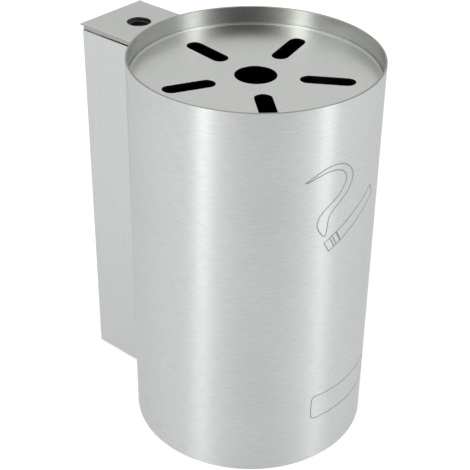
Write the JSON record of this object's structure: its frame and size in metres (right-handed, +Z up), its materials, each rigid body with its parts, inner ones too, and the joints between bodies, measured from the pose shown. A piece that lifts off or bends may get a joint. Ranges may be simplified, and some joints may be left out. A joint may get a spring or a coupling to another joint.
{
  "type": "wall-mounted ashtray bin",
  "caption": "Round brushed steel ashtray bin with a perforated dish and a lift-out liner, locked on a folded wall rail.",
  "frame": {"origin": "on the wall, midway between the two screw holes of the rail", "axes": "+Z up along the tube, +Y into the wall, +X to the right seen from the front"},
  "size_m": [0.12, 0.155, 0.2],
  "materials": {
    "brushed_steel": "brushed satin",
    "dish_steel": "satin, pressed",
    "sheet_steel": "mill finish",
    "liner_steel": "galvanised",
    "lock_zinc": "black, die cast",
    "fastener_steel": "zinc plated",
    "pad_rubber": "matt"
  },
  "bodies": {
    "wall_rail": {"wall_rail": "sheet_steel", "shelf_pads": "pad_rubber"},
    "bin": {"body_tube": "brushed_steel", "base_plate": "sheet_steel", "housing_side_left": "brushed_steel", "housing_side_right": "brushed_steel", "housing_cap": "brushed_steel", "lock_plate": "sheet_steel", "lock_barrel": "lock_zinc", "lock_washer": "fastener_steel", "lock_nut": "fastener_steel"},
    "lock_core": {"lock_core": "lock_zinc", "lock_cam": "fastener_steel", "cam_washer": "fastener_steel", "cam_screw": "fastener_steel"},
    "liner": {"liner_wall": "liner_steel", "liner_floor": "liner_steel"},
    "dish": {"ash_dish": "dish_steel"}
  },
  "joints": [
    {"name": "bin_lift", "type": "slide", "parent": "wall_rail", "child": "bin", "axis": [0, 0, 1], "range_m": [0, 0.18]},
    {"name": "lock_turn", "type": "hinge", "parent": "bin", "child": "lock_core", "pos_m": [0, -0.0196, 0.0845], "axis": [0, 0, 1], "range_deg": [0, 90]},
    {"name": "liner_lift", "type": "slide", "parent": "bin", "child": "liner", "axis": [0, 0, 1], "range_m": [0, 0.2]},
    {"name": "dish_lift", "type": "slide", "parent": "liner", "child": "dish", "axis": [0, 0, 1], "range_m": [0, 0.06]}
  ]
}
